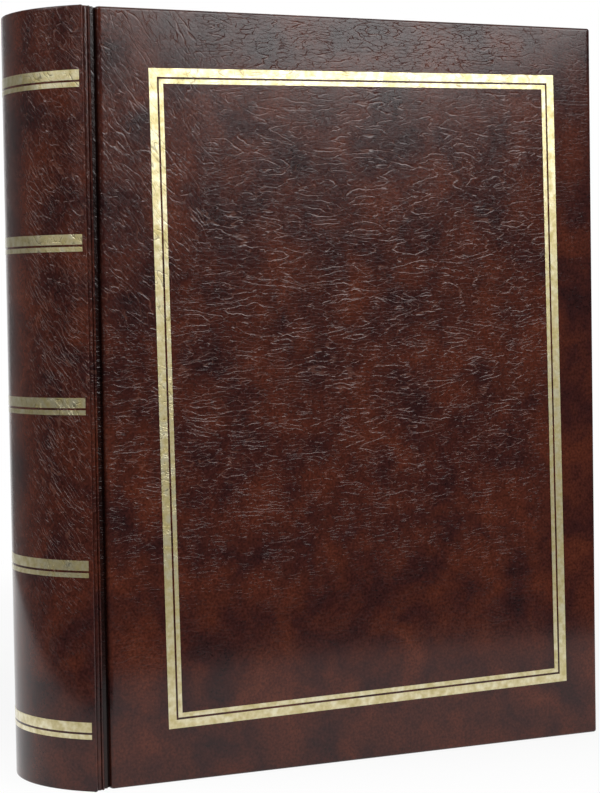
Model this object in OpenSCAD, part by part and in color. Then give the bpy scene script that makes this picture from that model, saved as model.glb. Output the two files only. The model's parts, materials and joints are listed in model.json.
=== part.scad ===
// Case-bound photo album, closed and standing on its tail.
// X runs from the spine to the fore-edge, Y from the front cover to the back cover, Z up.
// The origin is under the middle of the closed album. Millimetres.

/* [Covers] */
// Height of the covers and the spine
cover_h = 325; // [240:5:360]
// Width of a cover from its joint groove to the fore-edge
cover_w = 243; // [200:1:300]
// Thickness of the closed album over its covers
album_t = 74.4; // [60:0.2:90]
// Thickness of the leatherette
skin_t = 0.6; // [0.45:0.05:0.9]
// Thickness of a cover's grey board
board_t = 2.6; // [2:0.1:4]
// Radius of the soft edge round a cover's face
edge_r = 1.2; // [0.8:0.1:1.5]
// Thickness of the leatherette where it is turned in
turn_in_t = 0.5; // [0.4:0.05:0.8]
// Width of the leatherette turned in over a cover's inner side
turn_in_w = 15; // [8:1:25]
// Thickness of the paper pasted inside a cover
pastedown_t = 0.3; // [0.2:0.05:0.5]
// Leatherette left showing round the pasted paper
pastedown_margin = 3.5; // [2:0.5:7]

/* [Spine] */
// How far a shoulder of the spine stands out beyond the cover's face
spine_proud = 1.8; // [0.8:0.1:3]
// How far the spine rounds out beyond its shoulders
spine_bulge = 17.4; // [10:0.2:24]
// Thickness of the card inside the spine
spine_card_t = 1.2; // [0.8:0.1:2.4]
// Depth of the leatherette turned in at head and tail
spine_turn_in_h = 14; // [6:1:30]
// Air between the spine and the lined back of the leaves
hollow_gap = 0.8; // [0.7:0.05:0.95]

/* [Joint] */
// Distance from a cover's edge to the chord of the spine's outer arc
joint_w = 7.6; // [7.2:0.1:12]
// Width of the groove beside a cover
groove_w = 2.6; // [2.2:0.1:4]
// Depth of the groove below the cover's face
groove_depth = 2.5; // [1.5:0.1:2.8]
// How far the joint strip lies below the cover's face
strip_drop = 0.3; // [0.1:0.1:0.8]
// Thickness of the joint strip
strip_t = 2.9; // [2.8:0.1:3.4]
// Radius of the joint strip's two outer edges
strip_r = 0.9; // [0.5:0.1:1.4]

/* [Leaves] */
// Number of leaves, an even number
leaf_count = 30; // [10:2:30]
// Thickness of a leaf's paper core
core_t = 0.5; // [0.3:0.05:0.6]
// Thickness of the pocket film welded to each face of a leaf
film_t = 0.15; // [0.1:0.05:0.2]
// How far the covers reach past the leaves at head, tail and fore-edge
square_w = 4; // [3:0.5:8]
// Radius of a leaf's outer corners
leaf_corner_r = 3; // [1:0.5:8]
// Distance from the shoulder's axis to the crease of the outermost leaves
crease_in = 12; // [11:0.5:16]
// Step of the crease from leaf to leaf, towards the middle of the album
crease_step = 0.5; // [0.45:0.05:0.7]
// Width of a photo pocket
pocket_w = 156; // [90:1:170]
// Height of a photo pocket
pocket_h = 100; // [60:1:130]
// Least gap between the pockets of a page
pocket_gap = 4; // [2:0.5:12]
// Margin between a pocket and the leaf's fore-edge
pocket_margin = 7; // [3:1:14]
// Thickness of a flyleaf
flyleaf_t = 0.3; // [0.2:0.05:0.5]
// How far the crease of a flyleaf lies behind the outermost leaf's crease
flyleaf_setback = 1.5; // [1:0.1:3]

/* [Binding] */
// Thickness of the glue on the back of the leaves
glue_t = 0.6; // [0.3:0.1:1]
// Thickness of the gauze
gauze_t = 0.25; // [0.15:0.05:0.35]
// Thickness of the paper lining over the gauze
liner_t = 0.5; // [0.3:0.1:0.8]
// Thickness of a headband's cord
headband_d = 2.6; // [1.5:0.1:2.9]
// Distance of the gauze and the paper lining from the ends of the leaves
lining_inset = 6; // [2:1:20]
// Width of the gauze flange glued inside a cover
flange_w = 26; // [10:1:40]

/* [Gold] */
// Thickness of the gold foil
foil_t = 0.12; // [0.08:0.02:0.2]
// Width of the frame's broad line
broad_line_w = 3.6; // [2:0.1:6]
// Width of the frame's thin line
thin_line_w = 1.9; // [0.8:0.1:3]
// Dark gap between a broad line and its thin line
line_gap = 0.9; // [0.5:0.1:3]
// Distance from the groove to the frame
frame_left = 24.7; // [12:0.1:50]
// Distance from the fore-edge to the frame
frame_right = 18.5; // [12:0.1:50]
// Distance from the tail to the frame
frame_bottom = 24; // [12:0.1:50]
// Distance from the head to the frame
frame_top = 23.4; // [12:0.1:50]
// Turn of the stamped frame on the cover, in degrees
frame_skew = 0.8; // [0:0.1:1.5]
// Number of gold bands across the spine
band_count = 5; // [2:1:7]
// Height of the lowest band above the tail
lowest_band_z = 21.9; // [10:0.1:40]
// Distance from the head down to the highest band
highest_band_drop = 26.4; // [10:0.1:40]
// Height of a band's broad line
band_broad_h = 4.2; // [2:0.1:8]
// Height of the middle band's broad line
middle_broad_h = 4.2; // [2:0.1:8]
// Height of a band's thin line
band_thin_h = 2; // [1:0.1:4]
// Angle at each shoulder that the bands leave bare, in degrees
band_bare_deg = 1; // [0.5:0.5:6]

/* [Hidden] */
// Running gap between pieces that move past each other
gap = 0.3;
// Running gap between a leaf's edge and its stub
crease_gap = 0.15;
// Step between the spine's faces and its round ends
shoulder_step = 0.05;
// Angle at each shoulder that the turned-in leatherette of the spine leaves bare
turn_in_bare_deg = 8;
// Angle at each end of the leaves' back that a headband leaves bare
headband_bare_deg = 1;
$fn = 96;

// Covers, as distances from the middle plane
cover_face = album_t / 2;
cover_t = skin_t + board_t + turn_in_t;
cover_inner = cover_face - cover_t;
board_inner = cover_inner + turn_in_t;
paper_face = cover_inner - pastedown_t;

// Round spine, an arc over its two shoulders, whose ends are round
shell_t = skin_t + spine_card_t;
half_spine = cover_face + spine_proud;
spine_r = (pow(half_spine, 2) + pow(spine_bulge, 2)) / (2 * spine_bulge);
shell_mid_r = spine_r - shell_t / 2;
shoulder_r = shell_t / 2 - shoulder_step;
shoulder_y = half_spine - shell_t / 2;
shoulder_deg = asin(shoulder_y / shell_mid_r);
card_deg = shoulder_deg - skin_t / shell_mid_r * 180 / PI;

// Places along X, with the album centred on the origin
album_w = foil_t + spine_bulge + joint_w + cover_w;
spine_cx = -album_w / 2 + foil_t + spine_r;
shoulder_x = spine_cx - shell_mid_r * cos(shoulder_deg);
cover_x1 = album_w / 2;
cover_x0 = cover_x1 - cover_w;

// A cover turns on an axis inside its own edge, and the joint strip stays clear of that edge's sweep
cover_axis_x = cover_x0 + cover_t / 2;
edge_sweep_r = edge_r + (cover_t / 2 - edge_r) * sqrt(2);
strip_x0 = shoulder_x + shell_t / 2 + gap;
strip_x1 = cover_x0 - groove_w;
web_x1 = cover_axis_x - edge_sweep_r - gap;

// Leaves, whose creases step outwards to the middle of the album
leaf_t = core_t + 2 * film_t;
leaf_z0 = square_w;
leaf_z1 = cover_h - square_w;
leaf_x1 = cover_x1 - square_w;
flyleaf_y = paper_face - gap - flyleaf_t / 2;
stack_y = flyleaf_y + flyleaf_t / 2;
first_leaf_y = flyleaf_y - flyleaf_t / 2 - gap - leaf_t / 2;
leaf_pitch = 2 * first_leaf_y / (leaf_count - 1);
flyleaf_crease_x = shoulder_x + crease_in - flyleaf_setback;
pocket_count = floor((leaf_z1 - leaf_z0) / (pocket_h + pocket_gap));
function steps_in(i) = min(i, leaf_count - 1 - i);
function leaf_y(i) = -first_leaf_y + i * leaf_pitch;
function crease_x(i) = shoulder_x + crease_in + crease_step * steps_in(i);
function stub_x1(i) = crease_x(i) - core_t / 2 - crease_gap;

// Layers on the rounded back of the leaves, from the spine inwards
liner_r = spine_r - shell_t - hollow_gap;
gauze_r = liner_r - liner_t;
glue_r = gauze_r - gauze_t;
stack_r = glue_r - glue_t;

// Gold lines
frame_w = cover_w - frame_left - frame_right;
frame_h = cover_h - frame_bottom - frame_top;
top_band_z = cover_h - highest_band_drop - band_broad_h - line_gap - band_thin_h;
band_pitch = (top_band_z - lowest_band_z) / (band_count - 1);
function broad_h(i) = 2 * i == band_count - 1 ? middle_broad_h : band_broad_h;

burgundy = [0.23, 0.09, 0.07];
leaf_names = [for (i = [1:leaf_count]) str("leaf_", i < 10 ? "0" : "", i)];

// A flat profile from the origin, with a round corner at each end of its first long side
module soft_profile(length, depth, radius) {
    translate([0, radius]) square([length, depth - radius]);
    translate([radius, 0]) square([length - 2 * radius, depth]);
    for (x = [radius, length - radius]) translate([x, radius]) circle(r = radius);
}

// A cover-sized plate whose outer face looks along -Y and has soft edges all round
module soft_plate() {
    translate([cover_x0, -cover_face, 0]) intersection() {
        linear_extrude(height = cover_h) soft_profile(cover_w, cover_t, edge_r);
        rotate([90, 0, 90]) linear_extrude(height = cover_w)
            mirror([1, -1]) soft_profile(cover_h, cover_t, edge_r);
    }
}

// A box between its limits
module span(x0, x1, y0, y1, z0, z1) {
    translate([x0, y0, z0]) cube([x1 - x0, y1 - y0, z1 - z0]);
}

// A box inside the front cover's outline, drawn in by the same amount on all four sides
module inset_plate(inset, y0, y1) {
    span(cover_x0 + inset, cover_x1 - inset, y0, y1, inset, cover_h - inset);
}

// The back is the front turned over in Y
module on_back() {
    mirror([0, 1, 0]) children();
}

module board() {
    inset_plate(skin_t, -cover_face + skin_t, -board_inner);
}

// The leatherette goes round the board, and leaves a window on the inner side
module skin() {
    difference() {
        soft_plate();
        board();
        inset_plate(turn_in_w, -board_inner - board_t / 2, -cover_inner + gap);
    }
}

module gauze_flange() {
    span(cover_x0 + turn_in_w, cover_x0 + turn_in_w + flange_w, -board_inner, -board_inner + gauze_t,
         turn_in_w + lining_inset, cover_h - turn_in_w - lining_inset);
}

// The pasted paper fills the window, covers the turn-ins and lies over the gauze
module pastedown() {
    difference() {
        union() {
            inset_plate(turn_in_w, -board_inner, -paper_face);
            inset_plate(pastedown_margin, -cover_inner, -paper_face);
        }
        gauze_flange();
    }
}

// The strip folds round the spine's shoulder, and its thin web is the bottom of the groove
module joint_strip() {
    web_y0 = -cover_face + groove_depth;
    strip_y0 = -cover_face + strip_drop;
    linear_extrude(height = cover_h) {
        translate([strip_x0, strip_y0]) soft_profile(strip_x1 - strip_x0, strip_t, strip_r);
        translate([strip_x0 + strip_r, web_y0])
            square([web_x1 - strip_x0 - strip_r, strip_y0 + strip_t - web_y0]);
    }
}

// Part of a ring round the spine's centre, open towards the leaves
module spine_ring(outer_r, inner_r, half_deg, z0, z1) {
    translate([spine_cx, 0, z0]) rotate([0, 0, 180 - half_deg])
        rotate_extrude(angle = 2 * half_deg)
            translate([inner_r, 0]) square([outer_r - inner_r, z1 - z0]);
}

module spine_card() {
    spine_ring(spine_r - skin_t, spine_r - shell_t, card_deg, skin_t, cover_h - skin_t);
}

// The leatherette wraps the card's long edges and turns in over its two ends
module spine_skin() {
    difference() {
        union() {
            spine_ring(spine_r, spine_r - shell_t, shoulder_deg, 0, cover_h);
            for (z = [0, cover_h - spine_turn_in_h])
                spine_ring(spine_r - skin_t, spine_r - shell_t - turn_in_t,
                           shoulder_deg - turn_in_bare_deg, z, z + spine_turn_in_h);
            for (side = [-1, 1]) translate([shoulder_x, side * shoulder_y, 0])
                cylinder(r = shoulder_r, h = cover_h);
        }
        spine_card();
    }
}

// A layer on the rounded back of the leaves
module back_lining(outer_r, thickness, inset) {
    spine_ring(outer_r, outer_r - thickness, asin(stack_y / outer_r), leaf_z0 + inset, leaf_z1 - inset);
}

// A cord along the rounded back, at the head or at the tail
module end_band(z) {
    half_deg = asin(stack_y / stack_r) - headband_bare_deg;
    translate([spine_cx, 0, z]) rotate([0, 0, 180 - half_deg]) rotate_extrude(angle = 2 * half_deg)
        translate([stack_r - headband_d / 2, 0]) circle(d = headband_d);
}

// A flat strip in the bound edge, cut to the rounded back
module bound_strip(y0, y1, x1) {
    intersection() {
        span(spine_cx - spine_r, x1, y0, y1, leaf_z0, leaf_z1);
        translate([spine_cx, 0, 0]) cylinder(r = stack_r, h = cover_h);
    }
}

module leaf_stubs() {
    for (i = [0:leaf_count - 1])
        bound_strip(leaf_y(i) - core_t / 2, leaf_y(i) + core_t / 2, stub_x1(i));
    for (y = [-stack_y, stack_y - flyleaf_t])
        bound_strip(y, y + flyleaf_t, flyleaf_crease_x - flyleaf_t / 2 - crease_gap);
}

// Card strips that make room for the photos: one between neighbours and one outside each end leaf
module guard_strips() {
    for (i = [0:leaf_count - 2])
        bound_strip(leaf_y(i) + core_t / 2, leaf_y(i + 1) - core_t / 2, min(stub_x1(i), stub_x1(i + 1)));
    end_guard_t = stack_y - flyleaf_t - first_leaf_y - core_t / 2;
    for (y = [-stack_y + flyleaf_t, first_leaf_y + core_t / 2])
        bound_strip(y, y + end_guard_t, flyleaf_crease_x - flyleaf_t / 2 - crease_gap);
}

// A sheet from its crease to the fore-edge, with round outer corners and its inner edge round its crease
module sheet(x0, y, thickness) {
    translate([0, y + thickness / 2, 0]) rotate([90, 0, 0]) linear_extrude(height = thickness) {
        translate([x0, leaf_z0]) square([leaf_x1 - leaf_corner_r - x0, leaf_z1 - leaf_z0]);
        translate([x0, leaf_z0 + leaf_corner_r])
            square([leaf_x1 - x0, leaf_z1 - leaf_z0 - 2 * leaf_corner_r]);
        for (z = [leaf_z0 + leaf_corner_r, leaf_z1 - leaf_corner_r])
            translate([leaf_x1 - leaf_corner_r, z]) circle(r = leaf_corner_r);
    }
    translate([x0, y, leaf_z0]) cylinder(d = thickness, h = leaf_z1 - leaf_z0);
}

module flyleaf() {
    sheet(flyleaf_crease_x, -flyleaf_y, flyleaf_t);
}

// One leaf with the photo pockets on both of its faces
module leaf(i) {
    pocket_x0 = leaf_x1 - pocket_margin - pocket_w;
    pocket_pitch = (leaf_z1 - leaf_z0) / pocket_count;
    sheet(crease_x(i), leaf_y(i), core_t);
    for (row = [0.5:pocket_count - 0.5])
        translate([pocket_x0, leaf_y(i) - leaf_t / 2, leaf_z0 + row * pocket_pitch - pocket_h / 2])
            cube([pocket_w, leaf_t, pocket_h]);
}

// A rectangular line of one width, laid inside the frame's outer edge
module frame_line(inset, width) {
    translate([cover_x0 + frame_left + frame_w / 2, -cover_face, frame_bottom + frame_h / 2])
        rotate([90, -frame_skew, 0]) linear_extrude(height = foil_t) difference() {
            square([frame_w - 2 * inset, frame_h - 2 * inset], center = true);
            square([frame_w - 2 * (inset + width), frame_h - 2 * (inset + width)], center = true);
        }
}

// One gold line round the spine
module spine_line(z, height) {
    spine_ring(spine_r + foil_t, spine_r, shoulder_deg - band_bare_deg, z, z + height);
}

module front_board() { color("tan") board(); }
module front_skin() { color(burgundy) skin(); }
module front_pastedown() { color("whitesmoke") pastedown(); }
module front_gauze_flange() { color("linen") gauze_flange(); }
module front_joint_strip() { color(burgundy) joint_strip(); }
module front_flyleaf() { color("whitesmoke") flyleaf(); }
module back_board() { color("tan") on_back() board(); }
module back_skin() { color(burgundy) on_back() skin(); }
module back_pastedown() { color("whitesmoke") on_back() pastedown(); }
module back_gauze_flange() { color("linen") on_back() gauze_flange(); }
module back_joint_strip() { color(burgundy) on_back() joint_strip(); }
module back_flyleaf() { color("whitesmoke") on_back() flyleaf(); }
module headband() { color("maroon") end_band(leaf_z1 + headband_d / 2); }
module tailband() { color("maroon") end_band(leaf_z0 - headband_d / 2); }
module frame_broad_line() { color("gold") frame_line(0, broad_line_w); }
module frame_thin_line() { color("gold") frame_line(broad_line_w + line_gap, thin_line_w); }

module spine_broad_bands() {
    color("gold") for (i = [0:band_count - 1])
        spine_line(lowest_band_z + i * band_pitch + band_thin_h + line_gap, broad_h(i));
}

module spine_thin_bands() {
    color("gold") for (i = [0:band_count - 1])
        spine_line(lowest_band_z + i * band_pitch, band_thin_h);
}

front_board();
front_skin();
front_pastedown();
front_gauze_flange();
front_joint_strip();
front_flyleaf();
back_board();
back_skin();
back_pastedown();
back_gauze_flange();
back_joint_strip();
back_flyleaf();
color(burgundy) spine_skin();
color("tan") spine_card();
color("wheat") back_lining(liner_r, liner_t, lining_inset);  // spine_liner
color("linen") back_lining(gauze_r, gauze_t, lining_inset);  // spine_gauze
color("khaki") back_lining(glue_r, glue_t, 0);  // spine_glue
headband();
tailband();
color("white") leaf_stubs();
color("gainsboro") guard_strips();
frame_broad_line();
frame_thin_line();
spine_broad_bands();
spine_thin_bands();
for (i = [0:leaf_count - 1])
    color("white") leaf(i);
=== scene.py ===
"""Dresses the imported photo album: leatherette, gold foil, papers, pocket leaves, headbands and studio."""

import json
import math

import bmesh
import bpy
from mathutils import Matrix, Vector


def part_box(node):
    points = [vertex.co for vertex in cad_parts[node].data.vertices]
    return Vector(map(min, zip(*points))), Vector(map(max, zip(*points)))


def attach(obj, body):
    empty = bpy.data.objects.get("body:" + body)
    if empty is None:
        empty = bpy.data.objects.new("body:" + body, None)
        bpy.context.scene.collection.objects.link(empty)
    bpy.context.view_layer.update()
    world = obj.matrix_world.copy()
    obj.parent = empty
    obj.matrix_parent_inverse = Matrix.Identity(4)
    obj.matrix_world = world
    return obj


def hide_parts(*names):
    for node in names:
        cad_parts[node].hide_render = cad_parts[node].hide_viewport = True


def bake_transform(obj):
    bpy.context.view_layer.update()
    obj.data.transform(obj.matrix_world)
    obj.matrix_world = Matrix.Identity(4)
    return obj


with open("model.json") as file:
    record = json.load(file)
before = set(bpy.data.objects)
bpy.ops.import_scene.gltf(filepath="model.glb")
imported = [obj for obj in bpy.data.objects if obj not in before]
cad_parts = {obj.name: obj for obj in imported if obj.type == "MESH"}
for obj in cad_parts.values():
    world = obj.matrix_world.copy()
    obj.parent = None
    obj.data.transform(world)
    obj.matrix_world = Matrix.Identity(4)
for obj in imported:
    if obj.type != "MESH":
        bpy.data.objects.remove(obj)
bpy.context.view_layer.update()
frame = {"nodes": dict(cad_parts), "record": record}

MM = 0.001
SIDES = (("front", -1), ("back", 1))
ROOT = "spine_and_block"
SMOOTH_ANGLE = math.radians(35)
# A face above this area, in square millimetres, is a large flat one
LARGE_FACE_MM2 = 10000.0
# How far the turned-in leatherette reaches into the spine's shell, so that no gap shows between them
SUNK = 0.3

# Sizes of the album, in millimetres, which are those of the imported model
COVER_LO, COVER_HI = (tuple(c / MM for c in corner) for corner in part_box("front_skin"))
COVER_X0, COVER_X1, HEIGHT = COVER_LO[0], COVER_HI[0], COVER_HI[2]
COVER_FACE, COVER_INNER = -COVER_LO[1], -COVER_HI[1]
# The cover's edges, and the softer one beside the groove
EDGE_R, GROOVE_EDGE_R = 1.2, 1.9
TURN_IN_W, TURN_IN_T = 15.0, 0.5
PASTEDOWN_MARGIN = 3.5
SPINE_BULGE, HALF_SPINE = 17.4, COVER_FACE + 1.8
SPINE_R = (HALF_SPINE**2 + SPINE_BULGE**2) / (2 * SPINE_BULGE)
SPINE_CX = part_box("spine_skin")[0][0] / MM + SPINE_R
SHELL_T = 1.8
HINGE = {j["name"]: [c / MM for c in j["pos_m"]] for j in frame["record"]["behaviour"]["joints"]}
SHOULDER_X, SHOULDER_Y = HINGE["front_joint_fold"][0], -HINGE["front_joint_fold"][1]
SHOULDER_DEG = math.degrees(math.asin(SHOULDER_Y / (SPINE_R - SHELL_T / 2)))
STRIP_LO, STRIP_HI = (tuple(c / MM for c in corner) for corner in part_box("front_joint_strip"))
GROOVE_W, GROOVE_DEPTH = 2.6, 2.5
# The joint strip: its rounded ridge, ends and crease, and where and how big that crease is
STRIP_R, STRIP_END_R, STRIP_CREASE_R = 0.8, 0.35, 0.2
STRIP_CREASE_SHARE, STRIP_CREASE_HALF, STRIP_CREASE_DEPTH = 0.62, 0.35, 0.55
# The spine's shell: rounded at its shoulders and rims, and turned in at head and tail, short of the shoulders
SHELL_END_R, SHELL_RIM_R = 0.85, 0.6
SHELL_TURN_IN_H, SHELL_TURN_IN_SETBACK, SHELL_TURN_IN_R = 14.0, 0.5, 0.2
SHELL_TURN_IN_DEG = SHOULDER_DEG - 8.0
# Folds of leatherette and of endpaper: their thickness, and how far they stop short of head and tail
SHOULDER_FOLD_T, GROOVE_FOLD_T, FOLD_SETBACK = 0.3, 0.4, 0.4
HINGE_PAPER_T, HINGE_PAPER_SETBACK = 0.2, 4.0
LEAF_COUNT, LEAF_CORNER_R, CORE_T, SQUARE_W = 30, 3.0, 0.5, 4.0
POCKET_W, POCKET_H, POCKET_ROWS, POCKET_MARGIN = 156.0, 100.0, 3, 7.0
# The film's thickness, its welded rim, how far an empty pocket swells, and the thumb notch of its open side
FILM_T, WELD_W, FILM_SWELL = 0.15, 1.6, 0.1
NOTCH_DEPTH, NOTCH_HALF = 7.0, 12.0
# From the spine's face to the back of the leaves: shell, air, paper lining, gauze and glue
HOLLOW_GAP, LINING_T, GAUZE_T, GLUE_T = 0.8, 0.5, 0.25, 0.6
BACK_LAYERS = SHELL_T + HOLLOW_GAP + LINING_T + GAUZE_T + GLUE_T
# The headbands: half their angle round the spine, thickness, threads' pitch, and how far threads draw in
BAND_HALF_DEG, BAND_D, THREAD_PITCH, THREAD_WAIST = 41.7, 2.6, 1.3, 0.84
BAND_R = SPINE_R - BACK_LAYERS - BAND_D / 2
# The ruled field beside the pockets
MEMO_MIDDLE_X, MEMO_HALF_W = -63.0, 23.0

# Studio: middle and radius of the floor's paper in metres, light from all sides, and the way to the backdrop
FLOOR_MIDDLE, FLOOR_R = (0.15, 0.28, -0.0002), 0.6
AMBIENT = 0.33
BACKDROP_WAY = (0.45, 0.89, 0.0)


def linear(hex_colour):
    """An sRGB hex colour as linear RGBA."""
    parts = [int(hex_colour[i : i + 2], 16) / 255 for i in (1, 3, 5)]
    return [c / 12.92 if c <= 0.04045 else ((c + 0.055) / 1.055) ** 2.4 for c in parts] + [1.0]


def every(size_mm):
    """The scale at which a texture repeats about every so many millimetres."""
    return 1 / (size_mm * MM)


def add(tree, kind, links=(), stops=(), **settings):
    """Adds a node and returns its outputs.

    links fills its inputs, in their order or by name, with sockets to link from or fixed values.
    stops gives a colour ramp its positions and colours.
    """
    node = tree.nodes.new("ShaderNode" + kind)
    for name, value in settings.items():
        setattr(node, name, value)
    for name, value in links.items() if isinstance(links, dict) else enumerate(links):
        if isinstance(value, bpy.types.NodeSocket):
            tree.links.new(value, node.inputs[name])
        else:
            node.inputs[name].default_value = value
    if stops:
        elements = node.color_ramp.elements
        for element, (position, colour) in zip(elements, (stops[0], stops[-1])):
            element.position, element.color = position, linear(colour)
        for position, colour in stops[1:-1]:
            elements.new(position).color = linear(colour)
    return node.outputs


def new_material(name):
    """A material with an empty node tree, the album's own coordinates and its output's surface socket."""
    material = bpy.data.materials.new(name)
    material.use_nodes = True
    tree = material.node_tree
    tree.nodes.clear()
    place = add(tree, "TexCoord")["Object"]
    out = tree.nodes.new("ShaderNodeOutputMaterial").inputs["Surface"]
    return material, tree, place, out


def leather_grain(tree, place):
    """The embossed grain: its height in millimetres, and how far its creases are open, from 0 to 1.

    Coarse cells 6 by 1.6 mm and fine ones 2.2 by 0.6 mm lie sideways, and long creases run between them.
    Towards the spine and the head the grain leans down to the right, and towards the tail and the
    fore-edge it fades out. The real grain is finer still: it is drawn as coarse as it needs to show.
    """
    x, y, z = add(tree, "SeparateXYZ", (place,))
    # The spine is unrolled, so that the grain runs round it as it runs over the flat covers
    inwards = add(tree, "Math", (SPINE_CX * MM, x), operation="SUBTRACT")[0]
    bearing = add(tree, "Math", (y, inwards), operation="ARCTAN2")[0]
    round_spine = add(tree, "Math", (bearing, -SPINE_R * MM), operation="MULTIPLY")[0]
    unrolled = add(tree, "CombineXYZ", (round_spine, 0.0, z))[0]
    on_spine = add(tree, "Math", (x, (SHOULDER_X + 1.0) * MM), operation="LESS_THAN")[0]
    sheet = add(tree, "Mix", {0: on_spine, 4: place, 5: unrolled}, data_type="VECTOR")[1]

    # Each crease wanders by up to half a millimetre
    wander = add(tree, "TexNoise", {"Vector": place, "Scale": every(5.0), "Detail": 2.0})["Color"]
    wander = add(tree, "VectorMath", (wander, (0.5, 0.5, 0.5)), operation="SUBTRACT")[0]
    wavy = add(tree, "VectorMath", (wander, (2.0 * MM,) * 3, sheet), operation="MULTIPLY_ADD")[0]
    # Patches in which the coarse cells are deep, and stretches in which the long creases are
    patch = add(tree, "TexNoise", {"Vector": place, "Scale": every(3.5), "Detail": 2.0})["Fac"]
    patch = add(tree, "MapRange", (patch, 0.42, 0.6, 0.15, 1.1), interpolation_type="SMOOTHSTEP")[0]
    stretch = add(tree, "TexNoise", {"Vector": place, "Scale": every(12.0), "Detail": 2.0})["Fac"]
    stretch = add(tree, "MapRange", (stretch, 0.4, 0.62), interpolation_type="SMOOTHSTEP")[0]

    # Two layers of the same grain: one lies level, and the other leans
    heights = []
    for turn_deg in (0.0, 52.0):
        lying = add(
            tree,
            "Mapping",
            {"Vector": wavy, "Rotation": (0.0, math.radians(turn_deg), 0.0), "Scale": (1.0, 1.0, 0.26)},
            vector_type="TEXTURE",
        )[0]
        cells = {"Vector": lying, "Scale": every(6.0)}
        coarse = add(tree, "TexVoronoi", cells, feature="DISTANCE_TO_EDGE")["Distance"]
        coarse = add(tree, "MapRange", (coarse, 0.0, 0.045, 0.055, 0.0), interpolation_type="SMOOTHSTEP")[0]
        coarse = add(tree, "Math", (coarse, patch), operation="MULTIPLY")[0]
        cells = {"Vector": lying, "Scale": every(2.2)}
        fine = add(tree, "TexVoronoi", cells, feature="DISTANCE_TO_EDGE")["Distance"]
        fine = add(tree, "MapRange", (fine, 0.0, 0.05, 0.004, 0.0), interpolation_type="SMOOTHSTEP")[0]
        # Long creases run side by side, as the lines of equal height on a map do
        relief = {"Vector": lying, "Scale": every(30.0), "Detail": 2.0, "Roughness": 0.35}
        contour = add(tree, "TexNoise", relief)["Fac"]
        contour = add(tree, "Math", (contour, 0.055), operation="PINGPONG")[0]
        contour = add(tree, "MapRange", (contour, 0.0, 0.013, 0.06, 0.0), interpolation_type="SMOOTHSTEP")[0]
        crease = add(tree, "Math", (contour, stretch, coarse), operation="MULTIPLY_ADD")[0]
        heights.append(add(tree, "Math", (crease, fine), operation="ADD")[0])

    # The grain leans near the head and the spine, and in spots elsewhere
    spot = add(tree, "TexNoise", {"Vector": place, "Scale": every(45.0), "Detail": 1.0})["Fac"]
    near_head = add(tree, "MapRange", (z, 140 * MM, 240 * MM), interpolation_type="SMOOTHSTEP")[0]
    near_spine = add(tree, "MapRange", (x, -30 * MM, -100 * MM), interpolation_type="SMOOTHSTEP")[0]
    lean = add(tree, "Math", (near_head, near_spine), operation="MULTIPLY")[0]
    lean = add(tree, "Math", (lean, on_spine), operation="MAXIMUM")[0]
    lean = add(tree, "Math", (spot, 0.6, lean), operation="MULTIPLY_ADD")[0]
    lean = add(tree, "MapRange", (lean, 0.55, 0.85), interpolation_type="SMOOTHSTEP")[0]
    depth = add(tree, "Mix", {0: lean, 2: heights[0], 3: heights[1]}, data_type="FLOAT")[0]
    # The spine's skin is pulled smooth over the middle of its card, and its creases open to the shoulders
    aside = add(tree, "Math", (y,), operation="ABSOLUTE")[0]
    pulled = add(tree, "MapRange", (aside, 8 * MM, 28 * MM, 0.4, 2.0), interpolation_type="SMOOTHSTEP")[0]
    pulled = add(tree, "Mix", {0: on_spine, 2: 1.0, 3: pulled}, data_type="FLOAT")[0]
    depth = add(tree, "Math", (depth, pulled), operation="MULTIPLY")[0]
    # It fades out towards the tail, and then towards the fore-edge
    up = add(tree, "Math", (spot, 80 * MM, z), operation="MULTIPLY_ADD")[0]
    keep = add(tree, "MapRange", (up, 70 * MM, 225 * MM, 0.06, 1.0), interpolation_type="SMOOTHSTEP")[0]
    depth = add(tree, "Math", (depth, keep), operation="MULTIPLY")[0]
    keep = add(tree, "MapRange", (x, 95 * MM, 118 * MM, 1.0, 0.12), interpolation_type="SMOOTHSTEP")[0]
    depth = add(tree, "Math", (depth, keep), operation="MULTIPLY")[0]
    opened = add(tree, "MapRange", (depth, 0.012, 0.05), interpolation_type="SMOOTHSTEP")[0]
    # Between the creases the coating swells by a few thousandths of a millimetre
    swell = add(tree, "TexNoise", {"Vector": place, "Scale": every(5.0), "Detail": 1.0})["Fac"]
    height = add(tree, "Math", (swell, 0.003), operation="MULTIPLY")[0]
    height = add(tree, "Math", (height, depth), operation="SUBTRACT")[0]
    return height, opened


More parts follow.
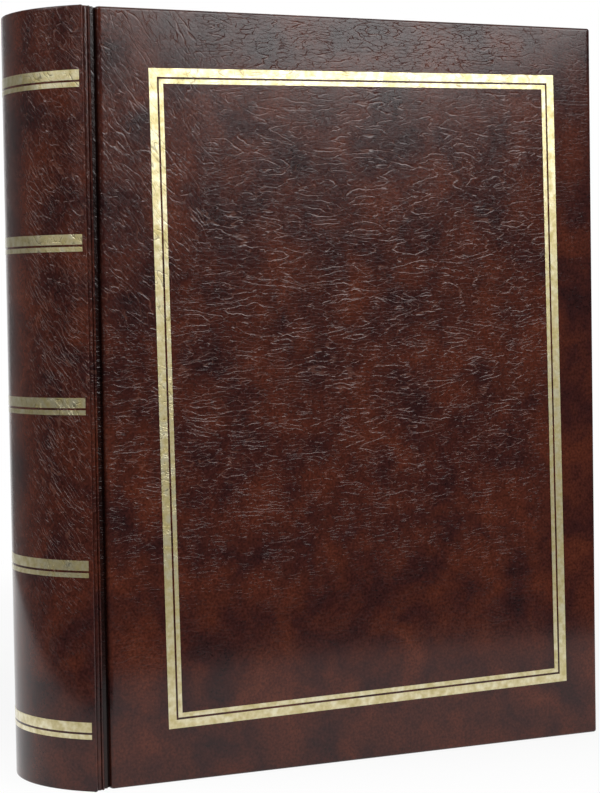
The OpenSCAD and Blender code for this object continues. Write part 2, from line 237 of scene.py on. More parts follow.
def leatherette_material():
    """PU-coated leatherette, printed in burgundy-brown clouds and embossed: satin, its crackle glints."""
    material, tree, place, out = new_material("marbled_pu_leatherette_embossed")
    # Cloud print: soft blotches about 20 mm across
    swirl = add(tree, "TexNoise", {"Vector": place, "Scale": every(30.0), "Detail": 2.0})["Color"]
    swirl = add(tree, "VectorMath", (swirl, (0.5, 0.5, 0.5)), operation="SUBTRACT")[0]
    cloud_place = add(tree, "VectorMath", (swirl, (30 * MM,) * 3, place), operation="MULTIPLY_ADD")[0]
    blotches = {"Vector": cloud_place, "Scale": every(21.0), "Detail": 4.0, "Roughness": 0.5}
    cloud = add(tree, "TexNoise", blotches)["Fac"]
    stops = [(0.3, "#251111"), (0.42, "#321613"), (0.52, "#3c1b14"), (0.62, "#451f15"), (0.74, "#4e2518")]
    colour = add(tree, "ValToRGB", (cloud,), stops)[0]
    # Speckle of the print, 1.1 mm
    speckle = add(tree, "TexNoise", {"Vector": place, "Scale": every(1.1), "Detail": 3.0})["Fac"]
    shade = add(tree, "MapRange", (speckle, 0.3, 0.7, 0.6, 1.4))[0]
    shade = add(tree, "CombineColor", (shade, shade, shade))[0]
    colour = add(tree, "Mix", {0: 1.0, 6: colour, 7: shade}, data_type="RGBA", blend_type="MULTIPLY")[2]
    height, opened = leather_grain(tree, place)
    # Creases are painted paler than the print round them: a painted highlight for the glint along each crease
    pale = add(tree, "Math", (opened, 0.3), operation="MULTIPLY")[0]
    colour = add(tree, "Mix", {0: pale, 6: colour, 7: linear("#724c40")}, data_type="RGBA")[2]
    # Painted shade in the groove: the print is darkened the deeper it lies below the cover's face, standing
    # in for the shadow there
    x, y, _ = add(tree, "SeparateXYZ", (place,))
    depth = add(tree, "Math", (y,), operation="ABSOLUTE")[0]
    depth = add(tree, "MapRange", (depth, (COVER_FACE - 0.1) * MM, (COVER_FACE - 1.6) * MM, 0.0, 0.8))[0]
    in_groove = add(tree, "Math", (x, (COVER_X0 - 1.2) * MM, 2.9 * MM), operation="COMPARE")[0]
    painted_groove_shade = add(tree, "Math", (depth, in_groove), operation="MULTIPLY")[0]
    colour = add(tree, "Mix", {0: painted_groove_shade, 6: colour, 7: linear("#120605")}, data_type="RGBA")[2]
    surface = {
        "Base Color": colour,
        "Roughness": add(tree, "MapRange", (speckle, 0.3, 0.7, 0.1, 0.14))[0],
        "IOR": 1.45,
        "Specular IOR Level": 0.36,
        "Normal": add(tree, "Bump", {"Height": height, "Strength": 1.0, "Distance": MM})[0],
    }
    tree.links.new(add(tree, "BsdfPrincipled", surface)[0], out)
    return material


def foil_material():
    """Metallised foil under a clear lacquer, stamped hot: pale satin gold, worn where a crease lies below."""
    material, tree, place, out = new_material("gold_foil_hot_stamped")
    height, opened = leather_grain(tree, place)
    tone = add(tree, "TexNoise", {"Vector": place, "Scale": every(3.0), "Detail": 3.0})["Fac"]
    colour = add(tree, "ValToRGB", (tone,), [(0.3, "#c1b27a"), (0.5, "#d8cb9c"), (0.7, "#ebe3c0")])[0]
    worn = add(tree, "Math", (opened, 0.45), operation="MULTIPLY")[0]
    colour = add(tree, "Mix", {0: worn, 6: colour, 7: linear("#33241a")}, data_type="RGBA")[2]
    # The stamp flattens the grain by half, and leaves pebbles about 0.5 mm across in the foil
    pebble = add(tree, "TexNoise", {"Vector": place, "Scale": every(0.5), "Detail": 1.0})["Fac"]
    pebble = add(tree, "Math", (pebble, 0.022), operation="MULTIPLY")[0]
    pressed = add(tree, "Math", (height, 0.5, pebble), operation="MULTIPLY_ADD")[0]
    surface = {
        "Base Color": colour,
        "Metallic": 1.0,
        "Roughness": add(tree, "MapRange", (tone, 0.3, 0.7, 0.42, 0.33))[0],
        "Coat Weight": 0.8,
        "Coat Roughness": 0.16,
        "Normal": add(tree, "Bump", {"Height": pressed, "Strength": 0.8, "Distance": MM})[0],
    }
    tree.links.new(add(tree, "BsdfPrincipled", surface)[0], out)
    return material


def paper_material(name, colours, fibre_mm, bump_mm, roughness):
    """Uncoated paper or card pressed from pulp: matt, with a faint cloud of fibres."""
    material, tree, place, out = new_material(name)
    pulp = {"Vector": place, "Scale": every(fibre_mm), "Detail": 4.0, "Roughness": 0.65}
    cloud = add(tree, "TexNoise", pulp)["Fac"]
    surface = {
        "Base Color": add(tree, "ValToRGB", (cloud,), [(0.35, colours[0]), (0.65, colours[1])])[0],
        "Roughness": roughness,
        "Specular IOR Level": 0.3,
        "Normal": add(tree, "Bump", {"Height": cloud, "Strength": 0.6, "Distance": bump_mm * MM})[0],
    }
    tree.links.new(add(tree, "BsdfPrincipled", surface)[0], out)
    return material


def leaf_material():
    """White coated card with a printed memo field: smooth and matt, with pale rules beside each pocket."""
    material, tree, place, out = new_material("leaf_card_coated_white")
    x, _, z = add(tree, "SeparateXYZ", (place,))
    cloud = add(tree, "TexNoise", {"Vector": place, "Scale": every(2.4), "Detail": 3.0})["Fac"]
    colour = add(tree, "ValToRGB", (cloud,), [(0.35, "#e4e1d8"), (0.65, "#edebe4")])[0]
    # Rules 0.45 mm wide every 9 mm, over the middle 73 mm of each pocket's height
    row_mm = (HEIGHT - 2 * SQUARE_W) / POCKET_ROWS
    up = add(tree, "Math", (z, SQUARE_W * MM), operation="SUBTRACT")[0]
    in_row = add(tree, "Math", (up, row_mm * MM), operation="FLOORED_MODULO")[0]
    from_middle = add(tree, "Math", (in_row, row_mm / 2 * MM, 36.5 * MM), operation="COMPARE")[0]
    rule = add(tree, "Math", (in_row, 9 * MM), operation="FLOORED_MODULO")[0]
    rule = add(tree, "Math", (rule, 0.45 * MM), operation="LESS_THAN")[0]
    across = add(tree, "Math", (x, MEMO_MIDDLE_X * MM, MEMO_HALF_W * MM), operation="COMPARE")[0]
    field = add(tree, "Math", (from_middle, across), operation="MULTIPLY")[0]
    ruled = add(tree, "Math", (field, rule), operation="MULTIPLY")[0]
    surface = {
        "Base Color": add(tree, "Mix", {0: ruled, 6: colour, 7: linear("#b3a79b")}, data_type="RGBA")[2],
        "Roughness": 0.6,
        "Normal": add(tree, "Bump", {"Height": cloud, "Strength": 0.4, "Distance": 0.01 * MM})[0],
    }
    tree.links.new(add(tree, "BsdfPrincipled", surface)[0], out)
    return material


def film_material():
    """Clear cast polypropylene that lies on white card: the card shows, a little cooler, glossy and wavy."""
    material, tree, place, out = new_material("pocket_film_cast_polypropylene")
    wave = add(tree, "TexNoise", {"Vector": place, "Scale": every(18.0), "Detail": 2.0})["Fac"]
    surface = {
        "Base Color": add(tree, "ValToRGB", (wave,), [(0.35, "#d9dcdb"), (0.65, "#e6e8e6")])[0],
        "Roughness": 0.14,
        "IOR": 1.49,
        "Coat Weight": 0.5,
        "Coat Roughness": 0.08,
        "Normal": add(tree, "Bump", {"Height": wave, "Strength": 0.7, "Distance": 0.25 * MM})[0],
    }
    tree.links.new(add(tree, "BsdfPrincipled", surface)[0], out)
    return material


def pastedown_material():
    """Endpaper glued inside a cover: uncoated and matt, with a low step over the turned-in leatherette."""
    material, tree, place, out = new_material("pastedown_uncoated_glued")
    x, _, z = add(tree, "SeparateXYZ", (place,))
    left = add(tree, "Math", (x, COVER_X0 * MM), operation="SUBTRACT")[0]
    right = add(tree, "Math", (COVER_X1 * MM, x), operation="SUBTRACT")[0]
    top = add(tree, "Math", (HEIGHT * MM, z), operation="SUBTRACT")[0]
    sides = add(tree, "Math", (left, right), operation="MINIMUM")[0]
    ends = add(tree, "Math", (z, top), operation="MINIMUM")[0]
    inset = add(tree, "Math", (sides, ends), operation="MINIMUM")[0]
    wander = add(tree, "TexNoise", {"Vector": place, "Scale": every(17.0), "Detail": 2.0})["Fac"]
    inset = add(tree, "Math", (wander, 1.2 * MM, inset), operation="MULTIPLY_ADD")[0]
    step = add(tree, "MapRange", (inset, 15.2 * MM, 16.4 * MM, 0.35, 0.0), interpolation_type="SMOOTHSTEP")[0]
    pulp = {"Vector": place, "Scale": every(3.0), "Detail": 4.0, "Roughness": 0.65}
    fibre = add(tree, "TexNoise", pulp)["Fac"]
    swell = add(tree, "TexNoise", {"Vector": place, "Scale": every(38.0), "Detail": 1.0})["Fac"]
    height = add(tree, "Math", (fibre, 0.06, step), operation="MULTIPLY_ADD")[0]
    height = add(tree, "Math", (swell, 0.7, height), operation="MULTIPLY_ADD")[0]
    surface = {
        "Base Color": add(tree, "ValToRGB", (fibre,), [(0.35, "#dcd5c6"), (0.65, "#e9e3d6")])[0],
        "Roughness": 0.8,
        "Specular IOR Level": 0.3,
        "Normal": add(tree, "Bump", {"Height": height, "Strength": 0.8, "Distance": 0.5 * MM})[0],
    }
    tree.links.new(add(tree, "BsdfPrincipled", surface)[0], out)
    return material


def band_material():
    """Cotton threads woven over a cord: matt, in burgundy and cream by turns, two threads each."""
    material, tree, place, out = new_material("headband_cotton_woven")
    x, y, _ = add(tree, "SeparateXYZ", (place,))
    inwards = add(tree, "Math", (x, SPINE_CX * MM), operation="SUBTRACT")[0]
    bearing = add(tree, "Math", (y, inwards), operation="ARCTAN2")[0]
    threads = add(tree, "Math", (bearing, BAND_R / THREAD_PITCH), operation="MULTIPLY")[0]
    pair = add(tree, "Math", (threads, 4.0), operation="FLOORED_MODULO")[0]
    stripe = add(tree, "Math", (pair, 2.0), operation="GREATER_THAN")[0]
    fibre = add(tree, "TexNoise", {"Vector": place, "Scale": every(0.4), "Detail": 2.0})["Fac"]
    burgundy = add(tree, "ValToRGB", (fibre,), [(0.3, "#54161a"), (0.7, "#7c2429")])[0]
    cream = add(tree, "ValToRGB", (fibre,), [(0.3, "#cdbf9c"), (0.7, "#e6dabc")])[0]
    surface = {
        "Base Color": add(tree, "Mix", {0: stripe, 6: burgundy, 7: cream}, data_type="RGBA")[2],
        "Roughness": 0.9,
        "Sheen Weight": 0.3,
        "Normal": add(tree, "Bump", {"Height": fibre, "Strength": 0.7, "Distance": 0.08 * MM})[0],
    }
    tree.links.new(add(tree, "BsdfPrincipled", surface)[0], out)
    return material


LEATHERETTE = leatherette_material()
FOIL = foil_material()
FILM = film_material()
LEAF_PAPER = leaf_material()
PASTEDOWN = pastedown_material()
CORD = band_material()
# Papers and boards: colours, size and height of the fibre clouds in millimetres, and roughness
ENDPAPER = paper_material("endpaper_uncoated", ("#dcd5c6", "#e9e3d6"), 3.0, 0.02, 0.85)
GUARD_CARD = paper_material("guard_card_pressed", ("#c3bdae", "#d0cabc"), 2.0, 0.03, 0.8)
GREY_BOARD = paper_material("grey_board_pressed", ("#8f877a", "#a59d8f"), 2.0, 0.06, 0.9)
LINING = paper_material("lining_kraft_paper", ("#9a7c56", "#ab8c64"), 2.5, 0.03, 0.85)
# Matt cotton gauze and satin amber glue, which show only as an edge behind the hollow of the spine
GAUZE = paper_material("mull_gauze_cotton", ("#cfc7b2", "#ded7c5"), 1.0, 0.1, 0.9)
GLUE = paper_material("bookbinding_glue_dried", ("#d3c493", "#e0d3a6"), 4.0, 0.05, 0.5)

CAD_MATERIALS = {
    "leatherette": LEATHERETTE,
    "gold_foil": FOIL,
    "endpaper": ENDPAPER,
    "leaf_paper": LEAF_PAPER,
    "guard_card": GUARD_CARD,
    "grey_board": GREY_BOARD,
    "lining_paper": LINING,
    "gauze": GAUZE,
    "glue": GLUE,
    "headband_cord": CORD,
}
for part in frame["record"]["subparts"]:
    cad = frame["nodes"][part["node"]]
    cad.data.materials.clear()
    glued = "pastedown" in part["node"]
    cad.data.materials.append(PASTEDOWN if glued else CAD_MATERIALS[part["material_slot"]])


def new_piece(name, bm, material, body=None, stands_for=()):
    """Makes a piece of a bmesh drawn in millimetres, with its place in its mesh, and puts it on its body."""
    bmesh.ops.scale(bm, vec=(MM, MM, MM), verts=bm.verts)
    for face in bm.faces:
        face.smooth = True
    for edge in bm.edges:
        edge.smooth = len(edge.link_faces) == 2 and edge.calc_face_angle(0.0) < SMOOTH_ANGLE
    mesh = bpy.data.meshes.new(name)
    bm.to_mesh(mesh)
    bm.free()
    for each in material if isinstance(material, list) else [material]:
        mesh.materials.append(each)
    piece = bpy.data.objects.new(name, mesh)
    bpy.context.scene.collection.objects.link(piece)
    if stands_for:
        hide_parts(*stands_for)
    if body:
        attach(piece, body)
    return piece


def block(low, high):
    """A box between two corners."""
    bm = bmesh.new()
    bmesh.ops.create_cube(bm, size=1.0)
    bmesh.ops.scale(bm, vec=[h - l for l, h in zip(low, high)], verts=bm.verts)
    bmesh.ops.translate(bm, vec=[(l + h) / 2 for l, h in zip(low, high)], verts=bm.verts)
    return bm


def at(edge, axis, *values):
    """Whether an edge lies wholly in one of the planes axis = value."""
    return any(all(abs(v.co[axis] - value) < 1e-4 for v in edge.verts) for value in values)


def turned(edge):
    """Whether an edge is a real corner, not a joint in a smooth or flat face."""
    return len(edge.link_faces) == 2 and edge.calc_face_angle(0.0) > math.radians(50)


def round_off(bm, geom, radius, segments, affect="EDGES"):
    """Rounds edges off, or the corners of a flat outline when affect is VERTICES."""
    bmesh.ops.bevel(
        bm,
        geom=list(geom),
        offset=radius,
        offset_type="OFFSET",
        affect=affect,
        segments=segments,
        profile=0.5,
        material=-1,
        clamp_overlap=False,
    )


def frame_flats(bm):
    """Gives each large flat face a narrow frame in its plane, so that it is shaded flat up to its edges."""
    large = [f for f in bm.faces if f.calc_area() > LARGE_FACE_MM2]
    bmesh.ops.inset_individual(bm, faces=large, thickness=0.4)


def frame_ends(bm, low, high, axis=2, margin=1.5):
    """Divides long faces just short of both ends, so that the rounding there doesn't shade their middle."""
    across = [float(k == axis) for k in range(3)]
    for place in (low + margin, high - margin):
        geom = bm.verts[:] + bm.edges[:] + bm.faces[:]
        bmesh.ops.bisect_plane(bm, geom=geom, plane_co=[place * a for a in across], plane_no=across)


def to_side(bm, sign):
    """What is drawn for the front goes to the back when sign is 1."""
    if sign > 0:
        bmesh.ops.scale(bm, vec=(1.0, -1.0, 1.0), verts=bm.verts)
        bmesh.ops.reverse_faces(bm, faces=bm.faces)
    return bm


def cover_case(sign):
    """Leatherette wrapped round a board, with a shallow window on the inner side where it is turned in."""
    bm = block((COVER_X0, -COVER_FACE, 0.0), (COVER_X1, -COVER_INNER, HEIGHT))
    round_off(bm, [e for e in bm.edges if at(e, 0, COVER_X0) and at(e, 1, -COVER_FACE)], GROOVE_EDGE_R, 8)
    round_off(bm, [e for e in bm.edges if turned(e)], EDGE_R, 5)
    inner = max(bm.faces, key=lambda f: f.calc_center_median().y)
    bmesh.ops.inset_region(bm, faces=[inner], thickness=TURN_IN_W - EDGE_R)
    bmesh.ops.inset_region(bm, faces=[inner], thickness=0.05, depth=-TURN_IN_T)
    frame_ends(bm, 0.0, HEIGHT)
    frame_ends(bm, COVER_X0, COVER_X1, 0, GROOVE_EDGE_R + 0.3)
    return to_side(bm, sign)


def move_grown(bm, grown, way):
    """Moves what an extrusion has made."""
    bmesh.ops.translate(bm, vec=way, verts=[v for v in grown if isinstance(v, bmesh.types.BMVert)])


def upright(outline, z0, z1):
    """A closed outline in plan, drawn up from z0 to z1."""
    bm = bmesh.new()
    face = bm.faces.new([bm.verts.new((x, y, z0)) for x, y in outline])
    move_grown(bm, bmesh.ops.extrude_face_region(bm, geom=[face])["geom"], (0.0, 0.0, z1 - z0))
    bmesh.ops.recalc_face_normals(bm, faces=bm.faces)
    return bm


def joint_strip(sign):
    """The soft ridge between spine and cover, creased along its right part, and the web under the groove."""
    x0, x1, web_x1 = STRIP_LO[0], COVER_X0 - GROOVE_W, STRIP_HI[0]
    y_out, y_web, y_in = STRIP_LO[1], -COVER_FACE + GROOVE_DEPTH, STRIP_HI[1]
    crease_x = x0 + STRIP_CREASE_SHARE * (x1 - x0)
    left_x, right_x = crease_x - STRIP_CREASE_HALF, crease_x + STRIP_CREASE_HALF
    crease = [(left_x, y_out), (crease_x, y_out + STRIP_CREASE_DEPTH), (right_x, y_out)]
    outline = [(x0, y_out), *crease, (x1, y_out), (x1, y_web), (web_x1, y_web), (web_x1, y_in), (x0, y_in)]
    bm = upright(outline, 0.0, HEIGHT)
    round_off(bm, [e for e in bm.edges if at(e, 0, left_x, right_x)], STRIP_CREASE_R, 3)
    ridge = [e for e in bm.edges if at(e, 1, y_out) and at(e, 0, x0, x1)]
    round_off(bm, ridge, STRIP_R, 6)
    round_off(bm, [e for e in bm.edges if at(e, 2, 0.0, HEIGHT) and turned(e)], STRIP_END_R, 3)
    frame_ends(bm, 0.0, HEIGHT)
    return to_side(bm, sign)


def arc_wall(inner_r, outer_r, half_deg, z0, z1, steps, end_round=0.0, rim_round=0.0):
    """A wall along the spine's arc, with its upright ends and its rims rounded off."""
    bm = bmesh.new()
    start = math.pi - math.radians(half_deg)
    corners = [
        bm.verts.new((SPINE_CX + r * math.cos(start), r * math.sin(start), z))
        for r, z in ((inner_r, z0), (outer_r, z0), (outer_r, z1), (inner_r, z1))
    ]
    loop = [bm.edges.new((a, b)) for a, b in zip(corners, corners[1:] + corners[:1])]
    centre, turn = (SPINE_CX, 0.0, 0.0), 2 * math.radians(half_deg)
    bmesh.ops.spin(bm, geom=corners + loop, cent=centre, axis=(0.0, 0.0, 1.0), angle=turn, steps=steps)
    bmesh.ops.holes_fill(bm, edges=[e for e in bm.edges if e.is_boundary], sides=4)
    bmesh.ops.recalc_face_normals(bm, faces=bm.faces)
    if end_round:
        end_area = (outer_r - inner_r) * (z1 - z0)
        ends = [f for f in bm.faces if abs(f.calc_area() - end_area) < 1.0]
        corners = {e for f in ends for e in f.edges if not at(e, 2, z0, z1)}
        round_off(bm, [e for e in bm.edges if e in corners and turned(e)], end_round, 6)
    if rim_round:
        round_off(bm, [e for e in bm.edges if at(e, 2, z0, z1) and turned(e)], rim_round, 4)
        frame_ends(bm, z0, z1)
    return bm


def fold(points, thickness, z0, z1, parts):
    """A thin sheet along a line in plan, divided into parts between its points."""
    bm = bmesh.new()
    foot = [bm.verts.new((x, y, z0)) for x, y in points]
    edges = [bm.edges.new(pair) for pair in zip(foot, foot[1:])]
    bmesh.ops.subdivide_edges(bm, edges=edges, cuts=parts - 1)
    move_grown(bm, bmesh.ops.extrude_edge_only(bm, edges=bm.edges[:])["geom"], (0.0, 0.0, z1 - z0))
    bmesh.ops.recalc_face_normals(bm, faces=bm.faces)
    bmesh.ops.solidify(bm, geom=bm.faces[:], thickness=thickness)
    bmesh.ops.recalc_face_normals(bm, faces=bm.faces)
    return bm


def case_and_hinges():
    """Leatherette on covers, joints and spine, the folds between, and the endpaper over the inner joints."""
    shell_r = SPINE_R - SHELL_T
    shell_deg = SHOULDER_DEG + math.degrees(SHELL_T / 2 / SPINE_R)
    shell = arc_wall(shell_r, SPINE_R, shell_deg, 0.0, HEIGHT, 128, SHELL_END_R, SHELL_RIM_R)
    new_piece("spine_leatherette", shell, LEATHERETTE, ROOT, ["spine_skin"])
    low, high = SHELL_TURN_IN_SETBACK, SHELL_TURN_IN_H
    for name, z0, z1 in (("tail", low, high), ("head", HEIGHT - high, HEIGHT - low)):
        inner_r, outer_r = shell_r - TURN_IN_T, shell_r + SUNK
        turn_in = arc_wall(inner_r, outer_r, SHELL_TURN_IN_DEG, z0, z1, 96, 0.0, SHELL_TURN_IN_R)
        new_piece(f"spine_turn_in_{name}", turn_in, LEATHERETTE, ROOT)
    for side, sign in SIDES:
        joint, cover = f"{side}_joint", f"{side}_cover"
        case, strip = cover_case(sign), joint_strip(sign)
        new_piece(f"{side}_cover_leatherette", case, LEATHERETTE, cover, [f"{side}_skin"])
        stands_for = [f"{side}_joint_strip"]
        new_piece(f"{side}_joint_leatherette", strip, LEATHERETTE, joint, stands_for)

        # Each fold reaches a little way into both of its neighbours, so that no edge of it stands open.
        # Leatherette from inside the shoulder to inside the strip: it wraps the shoulder
        strip_x0, strip_y = STRIP_LO[0], STRIP_LO[1]
        foot, head = FOLD_SETBACK, HEIGHT - FOLD_SETBACK
        over_shoulder = [(SHOULDER_X + 0.5, -SHOULDER_Y + 0.7), (strip_x0 + 0.5, strip_y + 1.5)]
        crease = fold(over_shoulder, SHOULDER_FOLD_T, foot, head, 16)
        crease = new_piece(f"{side}_shoulder_fold", to_side(crease, sign), LEATHERETTE)
        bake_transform(crease)

        # Leatherette at the bottom of the groove, from inside the web to inside the cover's edge
        web_y = -COVER_FACE + GROOVE_DEPTH
        web_x1 = STRIP_HI[0]
        under_groove = [(web_x1 - 0.8, web_y + 0.25), (COVER_X0 + 0.6, web_y + 0.25)]
        groove = fold(under_groove, GROOVE_FOLD_T, foot, head, 20)
        groove = new_piece(f"{side}_groove_fold", to_side(groove, sign), LEATHERETTE)
        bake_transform(groove)

        # Endpaper over the inner joint: off the cover on to the strip, then round to the side of the leaves
        foot, head = HINGE_PAPER_SETBACK, HEIGHT - HINGE_PAPER_SETBACK
        inner_y, strip_in = -COVER_INNER + 0.12, STRIP_HI[1] + 0.12
        off_cover = [
            (COVER_X0 + PASTEDOWN_MARGIN + 0.4, inner_y),
            (COVER_X0 + 0.9, inner_y),
            (COVER_X0 - 0.9, strip_in),
            (STRIP_LO[0] + 1.6, strip_in),
        ]
        paper = fold(off_cover, HINGE_PAPER_T, foot, head, 10)
        paper = new_piece(f"{side}_hinge_paper_cover", to_side(paper, sign), ENDPAPER)
        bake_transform(paper)
        side_y = -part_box("leaf_stubs")[1][1] / MM - 0.14
        turn_x = STRIP_LO[0] + 1.7
        to_block = [
            (COVER_X0 - 1.2, side_y),
            (turn_x + 0.6, side_y),
            (turn_x + 0.1, side_y - 0.25),
            (turn_x - 0.1, (side_y + strip_in) / 2),
            (turn_x + 0.1, strip_in + 0.25),
            (turn_x + 0.6, strip_in),
            (COVER_X0 - 3.2, strip_in),
        ]
        paper = fold(to_block, HINGE_PAPER_T, foot, head, 8)
        paper = new_piece(f"{side}_hinge_paper_block", to_side(paper, sign), ENDPAPER)
        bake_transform(paper)


case_and_hinges()


def film_pocket(bm, x0, z0, y_face, outward):
    """Clear film welded on a leaf's face: open towards the crease, with a thumb notch and a welded rim."""
    x1, z1, zm = x0 + POCKET_W, z0 + POCKET_H, z0 + POCKET_H / 2
    notch = [(x0, zm + NOTCH_HALF), (x0 + NOTCH_DEPTH, zm), (x0, zm - NOTCH_HALF)]
    corners = [bm.verts.new((x, y_face, z)) for x, z in [(x0, z0), (x1, z0), (x1, z1), (x0, z1), *notch]]
    bm.faces.new(corners)
    round_off(bm, [corners[5]], NOTCH_HALF * 0.8, 5, "VERTICES")
    face = corners[0].link_faces[0]
    grown = bmesh.ops.extrude_face_region(bm, geom=[face])["geom"]
    move_grown(bm, grown, (0.0, outward * FILM_T, 0.0))
    top = next(f for f in grown if isinstance(f, bmesh.types.BMFace))
    bmesh.ops.recalc_face_normals(bm, faces=list({f for v in top.verts for f in v.link_faces} | {face, top}))
    bmesh.ops.inset_region(bm, faces=[top], thickness=WELD_W)
    bmesh.ops.inset_region(bm, faces=[top], thickness=WELD_W, depth=FILM_SWELL)
    made = {f for v in top.verts for f in v.link_faces}
    for _ in range(3):
        made |= {f for g in made for v in g.verts for f in v.link_faces}
    for f in made:
        f.material_index = 1


def leaves_and_bands():
    """Thirty leaves with three film pockets on each face, and the woven bands at head and tail."""
    for number in range(1, LEAF_COUNT + 1):
        node = f"leaf_{number:02d}"
        crease_x, y, _ = HINGE[f"{node}_fold"]
        x1, z0, z1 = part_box(node)[1].x / MM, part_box(node)[0].z / MM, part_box(node)[1].z / MM
        bm = block((crease_x - CORE_T / 2, y - CORE_T / 2, z0), (x1, y + CORE_T / 2, z1))
        round_off(bm, [e for e in bm.edges if at(e, 0, x1) and at(e, 2, z0, z1)], LEAF_CORNER_R, 6)
        creased = [e for e in bm.edges if at(e, 0, crease_x - CORE_T / 2) and not at(e, 2, z0, z1)]
        round_off(bm, creased, CORE_T * 0.48, 2)
        frame_flats(bm)
        pitch = (z1 - z0) / POCKET_ROWS
        for row in range(POCKET_ROWS):
            for outward in (-1, 1):
                foot = z0 + (row + 0.5) * pitch - POCKET_H / 2
                film_pocket(bm, x1 - POCKET_MARGIN - POCKET_W, foot, y + outward * CORE_T / 2, outward)
        new_piece(f"{node}_pockets", bm, [LEAF_PAPER, FILM], node, [node])

    half, axis = math.radians(BAND_HALF_DEG), Vector((SPINE_CX, 0.0, 0.0))
    rings = 2 * round(2 * half * BAND_R / THREAD_PITCH)
    for name in ("headband", "tailband"):
        low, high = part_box(name)
        bm = bmesh.new()
        bmesh.ops.create_circle(bm, cap_ends=False, segments=14, radius=BAND_D / 2)
        bmesh.ops.rotate(bm, matrix=Matrix.Rotation(math.pi / 2, 3, "X"), verts=bm.verts)
        bmesh.ops.translate(bm, vec=(SPINE_CX + BAND_R, 0.0, (low.z + high.z) / 2 / MM), verts=bm.verts)
        bmesh.ops.rotate(bm, cent=axis, matrix=Matrix.Rotation(math.pi - half, 3, "Z"), verts=bm.verts)
        ring, step = bm.edges[:], Matrix.Rotation(2 * half / rings, 3, "Z")
        for number in range(rings):
            grown = bmesh.ops.extrude_edge_only(bm, edges=ring)["geom"]
            ring = [g for g in grown if isinstance(g, bmesh.types.BMEdge) and len(g.link_faces) == 1]
            verts = list({v for e in ring for v in e.verts})
            bmesh.ops.rotate(bm, cent=axis, matrix=step, verts=verts)
            # Every second ring is drawn in, between one thread and the next
            middle = sum((v.co for v in verts), Vector()) / len(verts)
            size = THREAD_WAIST if number % 2 == 0 else 1 / THREAD_WAIST
            bmesh.ops.scale(bm, vec=(size,) * 3, space=Matrix.Translation(-middle), verts=verts)
        bmesh.ops.holes_fill(bm, edges=[e for e in bm.edges if e.is_boundary], sides=0)
        bmesh.ops.recalc_face_normals(bm, faces=bm.faces)
        new_piece(f"{name}_woven", bm, CORD, ROOT, [name])


leaves_and_bands()


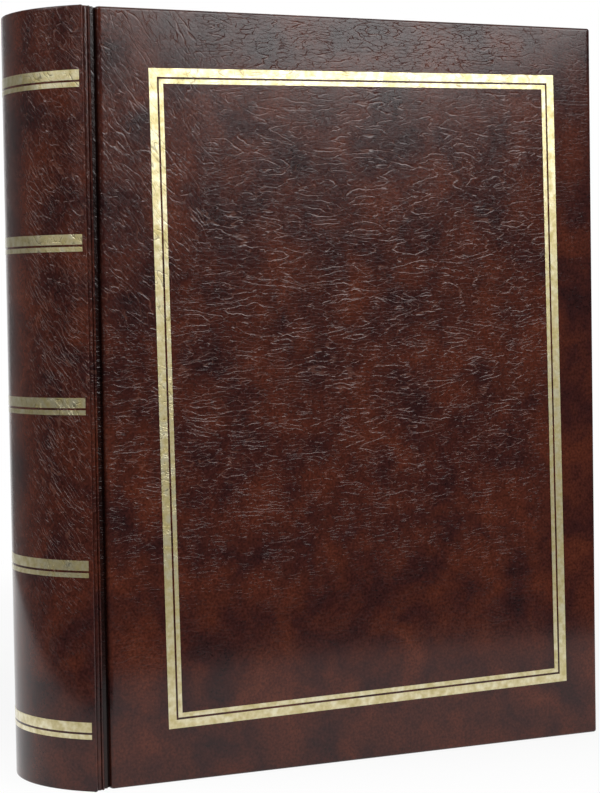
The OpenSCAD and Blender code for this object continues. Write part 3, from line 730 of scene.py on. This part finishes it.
def stage_and_camera():
    """A pale floor and white surroundings, soft lamps, and the camera of the photograph."""
    floor_material, tree, place, out = new_material("studio_floor_matt_white")
    seen = add(tree, "LightPath")
    direct = add(tree, "Math", (seen["Is Camera Ray"], seen["Is Glossy Ray"]), operation="MAXIMUM")[0]
    direct = add(tree, "Math", (direct, seen["Is Transmission Ray"]), operation="MAXIMUM")[0]
    # Round the album the paper is lit and keeps its shadow, and towards its rim it turns as white as the rest
    away = add(tree, "VectorMath", (place, FLOOR_MIDDLE), operation="DISTANCE")["Value"]
    white = add(tree, "MapRange", (away, 0.25, 0.5, 0.84, 1.0), interpolation_type="SMOOTHSTEP")[0]
    white = add(tree, "Math", (white, direct), operation="MULTIPLY")[0]
    lit = add(tree, "BsdfDiffuse", {"Color": linear("#f0f0f0")})[0]
    plain = add(tree, "Emission", {"Color": linear("#ffffff"), "Strength": 1.0})[0]
    tree.links.new(add(tree, "MixShader", (white, lit, plain))[0], out)
    mesh = bpy.data.meshes.new("studio_floor")
    bm = bmesh.new()
    bmesh.ops.create_circle(bm, cap_ends=True, segments=96, radius=FLOOR_R)
    bmesh.ops.translate(bm, vec=FLOOR_MIDDLE, verts=bm.verts)
    bm.to_mesh(mesh)
    bm.free()
    mesh.materials.append(floor_material)
    floor = bpy.data.objects.new("studio_floor", mesh)
    bpy.context.scene.collection.objects.link(floor)

    world = bpy.context.scene.world or bpy.data.worlds.new("studio")
    bpy.context.scene.world = world
    world.use_nodes = True
    tree = world.node_tree
    tree.nodes.clear()
    seen = add(tree, "LightPath")
    mirrored = add(tree, "Math", (seen["Is Glossy Ray"], seen["Is Transmission Ray"]), operation="MAXIMUM")[0]
    # A reflection shows the white backdrop behind the album, a pale ceiling, and a dim room at the sides
    way = add(tree, "TexCoord")["Generated"]
    upwards = add(tree, "SeparateXYZ", (way,))[2]
    behind = add(tree, "VectorMath", (way, BACKDROP_WAY), operation="DOT_PRODUCT")["Value"]
    backdrop = add(tree, "MapRange", (behind, 0.8, 0.97), interpolation_type="SMOOTHSTEP")[0]
    ceiling = add(tree, "MapRange", (upwards, 0.35, 0.9, 0.0, 0.8), interpolation_type="SMOOTHSTEP")[0]
    room = add(tree, "MapRange", (behind, -0.5, 0.8, 0.07, 0.25), interpolation_type="SMOOTHSTEP")[0]
    room = add(tree, "Math", (room, ceiling), operation="MAXIMUM")[0]
    room = add(tree, "Math", (room, backdrop), operation="MAXIMUM")[0]
    strength = add(tree, "Mix", {0: mirrored, 2: AMBIENT, 3: room}, data_type="FLOAT")[0]
    strength = add(tree, "Math", (strength, seen["Is Camera Ray"]), operation="MAXIMUM")[0]
    background = add(tree, "Background", {"Color": linear("#ffffff"), "Strength": strength})[0]
    tree.links.new(background, tree.nodes.new("ShaderNodeOutputWorld").inputs["Surface"])

    target = Vector((0.0, 0.0, 0.16))
    lamps = (
        # name, place, width, height, radiance
        ("front_octabox", (0.824, -1.487, 0.99), 1.062, 1.18, 7.4),
        ("left_softbox", (-1.90, 0.15, 1.20), 1.1, 0.9, 6.0),
        ("spine_softbox", (-1.50, -1.05, 1.0), 0.75, 0.7, 8.0),
        ("back_softbox", (0.60, 1.90, 1.30), 1.4, 0.9, 2.5),
    )
    for name, place, width, height, radiance in lamps:
        lamp = bpy.data.lights.new(name, "AREA")
        lamp.shape, lamp.size, lamp.size_y = "ELLIPSE", width, height
        # Watts of a one-sided panel: its radiance times pi times its area
        lamp.energy = radiance * math.pi * (math.pi / 4 * width * height)
        made = bpy.data.objects.new(name, lamp)
        made.location = place
        made.rotation_euler = (target - Vector(place)).to_track_quat("-Z", "Y").to_euler()
        bpy.context.scene.collection.objects.link(made)

    # The photograph's camera, fitted to the cover's corners and the spine's outline. Its place is counted
    # in heights of the album, from the front cover's lowest corner beside the groove
    yaw, pitch, roll = (math.radians(a) for a in (26.8431, -2.4659, -0.8969))
    focal_px, frame_h_px, sensor_mm = 2300.0, 793.0, 36.0
    at_cover = Vector((-1.09904, -2.72528, 0.62714)) * HEIGHT
    looks = Vector((math.sin(yaw) * math.cos(pitch), math.cos(yaw) * math.cos(pitch), math.sin(pitch)))
    right = Vector((math.cos(yaw), -math.sin(yaw), 0.0))
    up = right.cross(looks)
    right, up = (math.cos(roll) * right + math.sin(roll) * up, math.cos(roll) * up - math.sin(roll) * right)
    camera_data = bpy.data.cameras.new("photo_camera")
    camera_data.lens = focal_px * sensor_mm / frame_h_px
    camera_data.sensor_width = sensor_mm
    camera_data.clip_start, camera_data.clip_end = 0.01, 100.0
    camera = bpy.data.objects.new("photo_camera", camera_data)
    turn = Matrix((right, up, -looks)).transposed().to_4x4()
    camera.matrix_world = Matrix.Translation((at_cover + Vector((COVER_X0, -COVER_FACE, 0.0))) * MM) @ turn
    bpy.context.scene.collection.objects.link(camera)
    bpy.context.scene.camera = camera
    bpy.context.scene.view_settings.view_transform = "Standard"


stage_and_camera()
